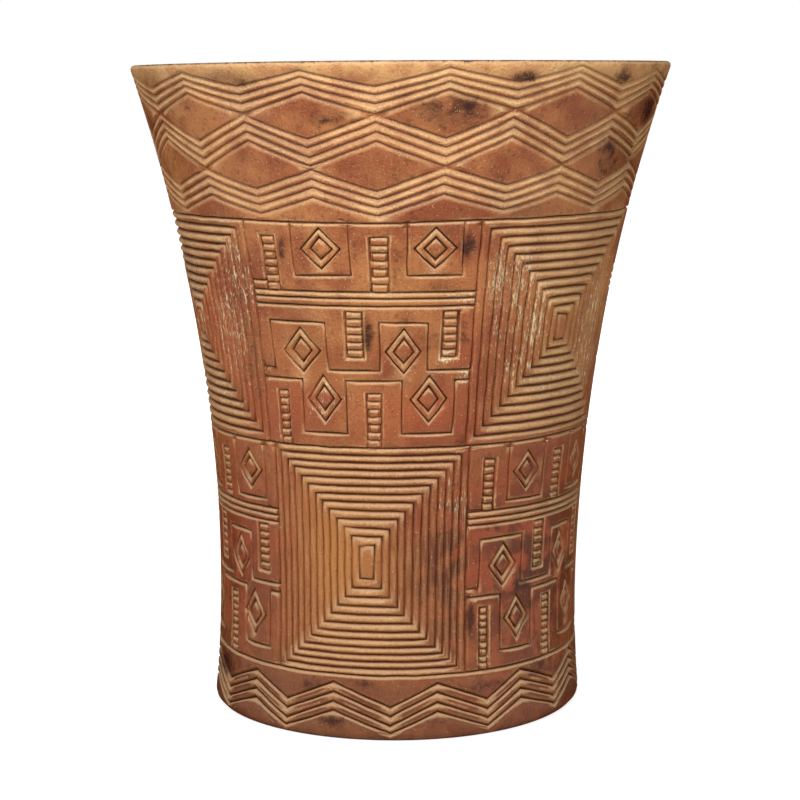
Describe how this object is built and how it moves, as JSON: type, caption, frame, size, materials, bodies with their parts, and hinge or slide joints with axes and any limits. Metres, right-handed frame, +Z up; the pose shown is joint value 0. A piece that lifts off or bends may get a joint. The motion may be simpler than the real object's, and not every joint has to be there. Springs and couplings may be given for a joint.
{
  "type": "drinking beaker",
  "caption": "Flared wooden drinking beaker carved from one block, with a hollow bowl, a flat foot and bands of incised zigzags, nested rectangles and diamonds.",
  "frame": {"origin": "centre of the flat foot, on the surface that the beaker stands on", "axes": "+Z up along the beaker's axis, from the foot to the lip; the carved face of the picture looks along -Y"},
  "size_m": [0.1412, 0.1412, 0.17],
  "materials": {
    "wood": "carved hardwood with a hand-worn satin polish, dark in the cuts"
  },
  "bodies": {
    "root": {"cup_body": "wood"}
  },
  "joints": []
}
